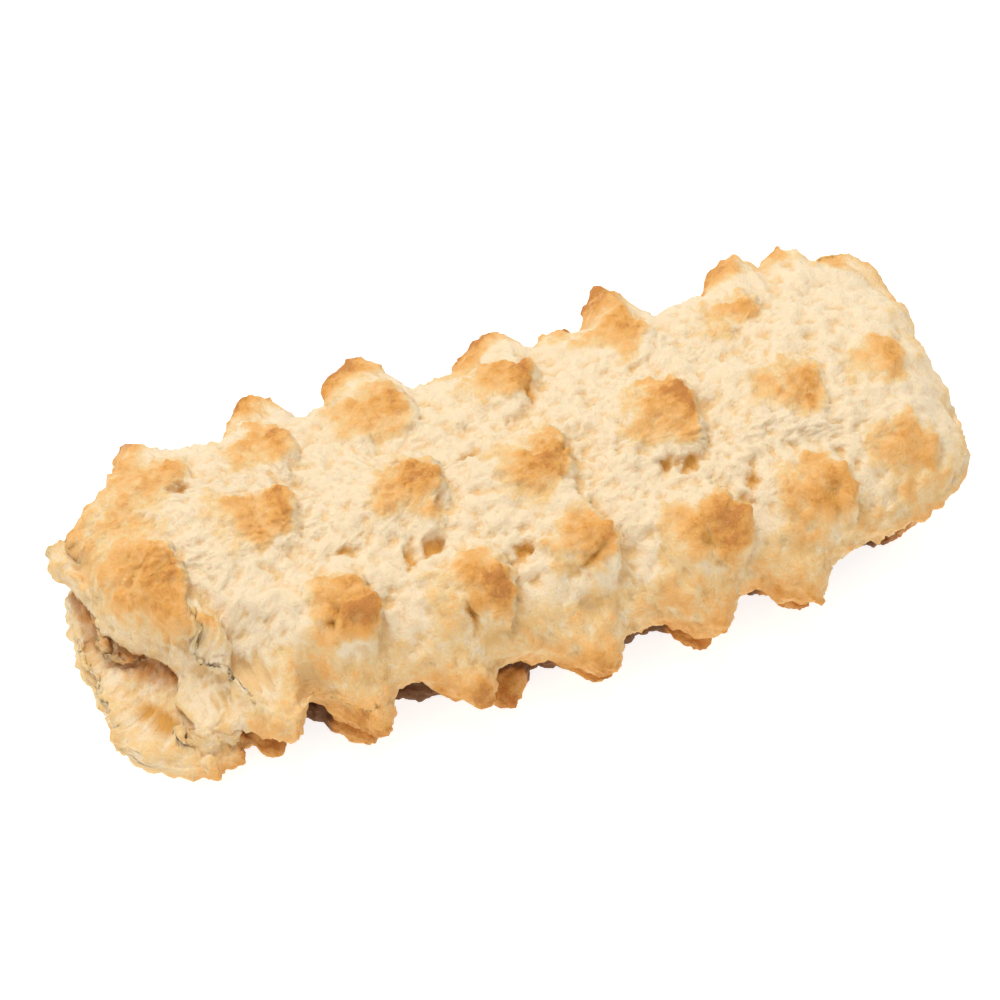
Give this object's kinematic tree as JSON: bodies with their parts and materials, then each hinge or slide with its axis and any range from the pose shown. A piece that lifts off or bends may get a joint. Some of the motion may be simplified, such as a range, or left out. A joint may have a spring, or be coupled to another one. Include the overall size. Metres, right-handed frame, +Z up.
{
  "type": "coconut cookie",
  "caption": "Thick oblong coconut cookie of one piece, pressed with knobbly ridges, toothed sides and a stepped end, and browned on its noses.",
  "frame": {"origin": "middle of the box round the cookie, at the plane that it rests on", "axes": "+X along the cookie's length, away from its stepped end; +Y across it; +Z up, through its thickness"},
  "size_m": [0.0882, 0.044, 0.0161],
  "materials": {
    "crust": "matte"
  },
  "bodies": {
    "root": {"cookie": "crust"}
  },
  "joints": []
}
